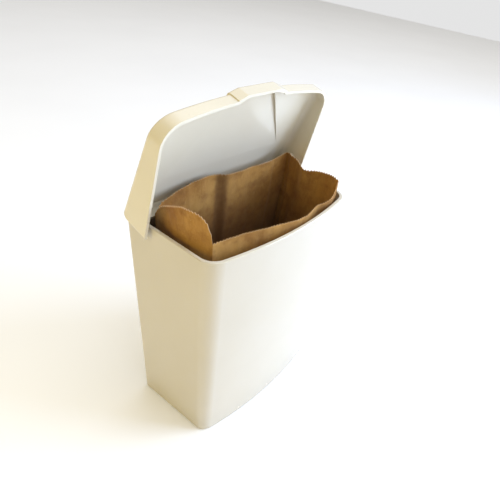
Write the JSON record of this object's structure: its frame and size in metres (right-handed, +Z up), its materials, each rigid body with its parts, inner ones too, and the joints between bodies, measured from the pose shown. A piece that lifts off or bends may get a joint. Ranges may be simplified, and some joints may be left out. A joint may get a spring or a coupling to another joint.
{
  "type": "waste bin",
  "caption": "Slim tapered waste bin with a bowed front, a hinged sloping lid with a finger tab, and a gusseted paper liner.",
  "frame": {"origin": "centre of the footprint, on the surface the bin stands on", "axes": "+Z up, front faces -Y, flat back faces +Y, +X to the right as seen from the front"},
  "size_m": [0.2072, 0.1185, 0.3615],
  "materials": {
    "tub_plastic": "smooth glossy moulding, warm white",
    "lid_plastic": "smooth semi-gloss moulding, warm white",
    "liner_paper": "brown kraft paper, creased, matt",
    "hinge_acetal": "satin natural acetal",
    "spring_steel": "bright spring steel",
    "soft_rubber": "matt pale grey rubber"
  },
  "bodies": {
    "tub": {"bin_body": "tub_plastic", "paper_liner": "liner_paper", "hinge_bush_left": "hinge_acetal", "hinge_bush_right": "hinge_acetal", "thrust_washer_left": "hinge_acetal", "thrust_washer_right": "hinge_acetal", "foot_front_left": "soft_rubber", "foot_front_right": "soft_rubber", "foot_rear_left": "soft_rubber", "foot_rear_right": "soft_rubber"},
    "lid_assembly": {"lid": "lid_plastic", "hinge_pin_left": "hinge_acetal", "hinge_pin_right": "hinge_acetal", "spring_washer_left": "spring_steel", "spring_washer_right": "spring_steel"}
  },
  "joints": [
    {"name": "lid_hinge", "type": "hinge", "parent": "tub", "child": "lid_assembly", "pos_m": [0, 0.03625, 0.2594], "axis": [-1, 0, 0], "range_deg": [-78.3, 0], "deforming": ["paper_liner"]}
  ]
}
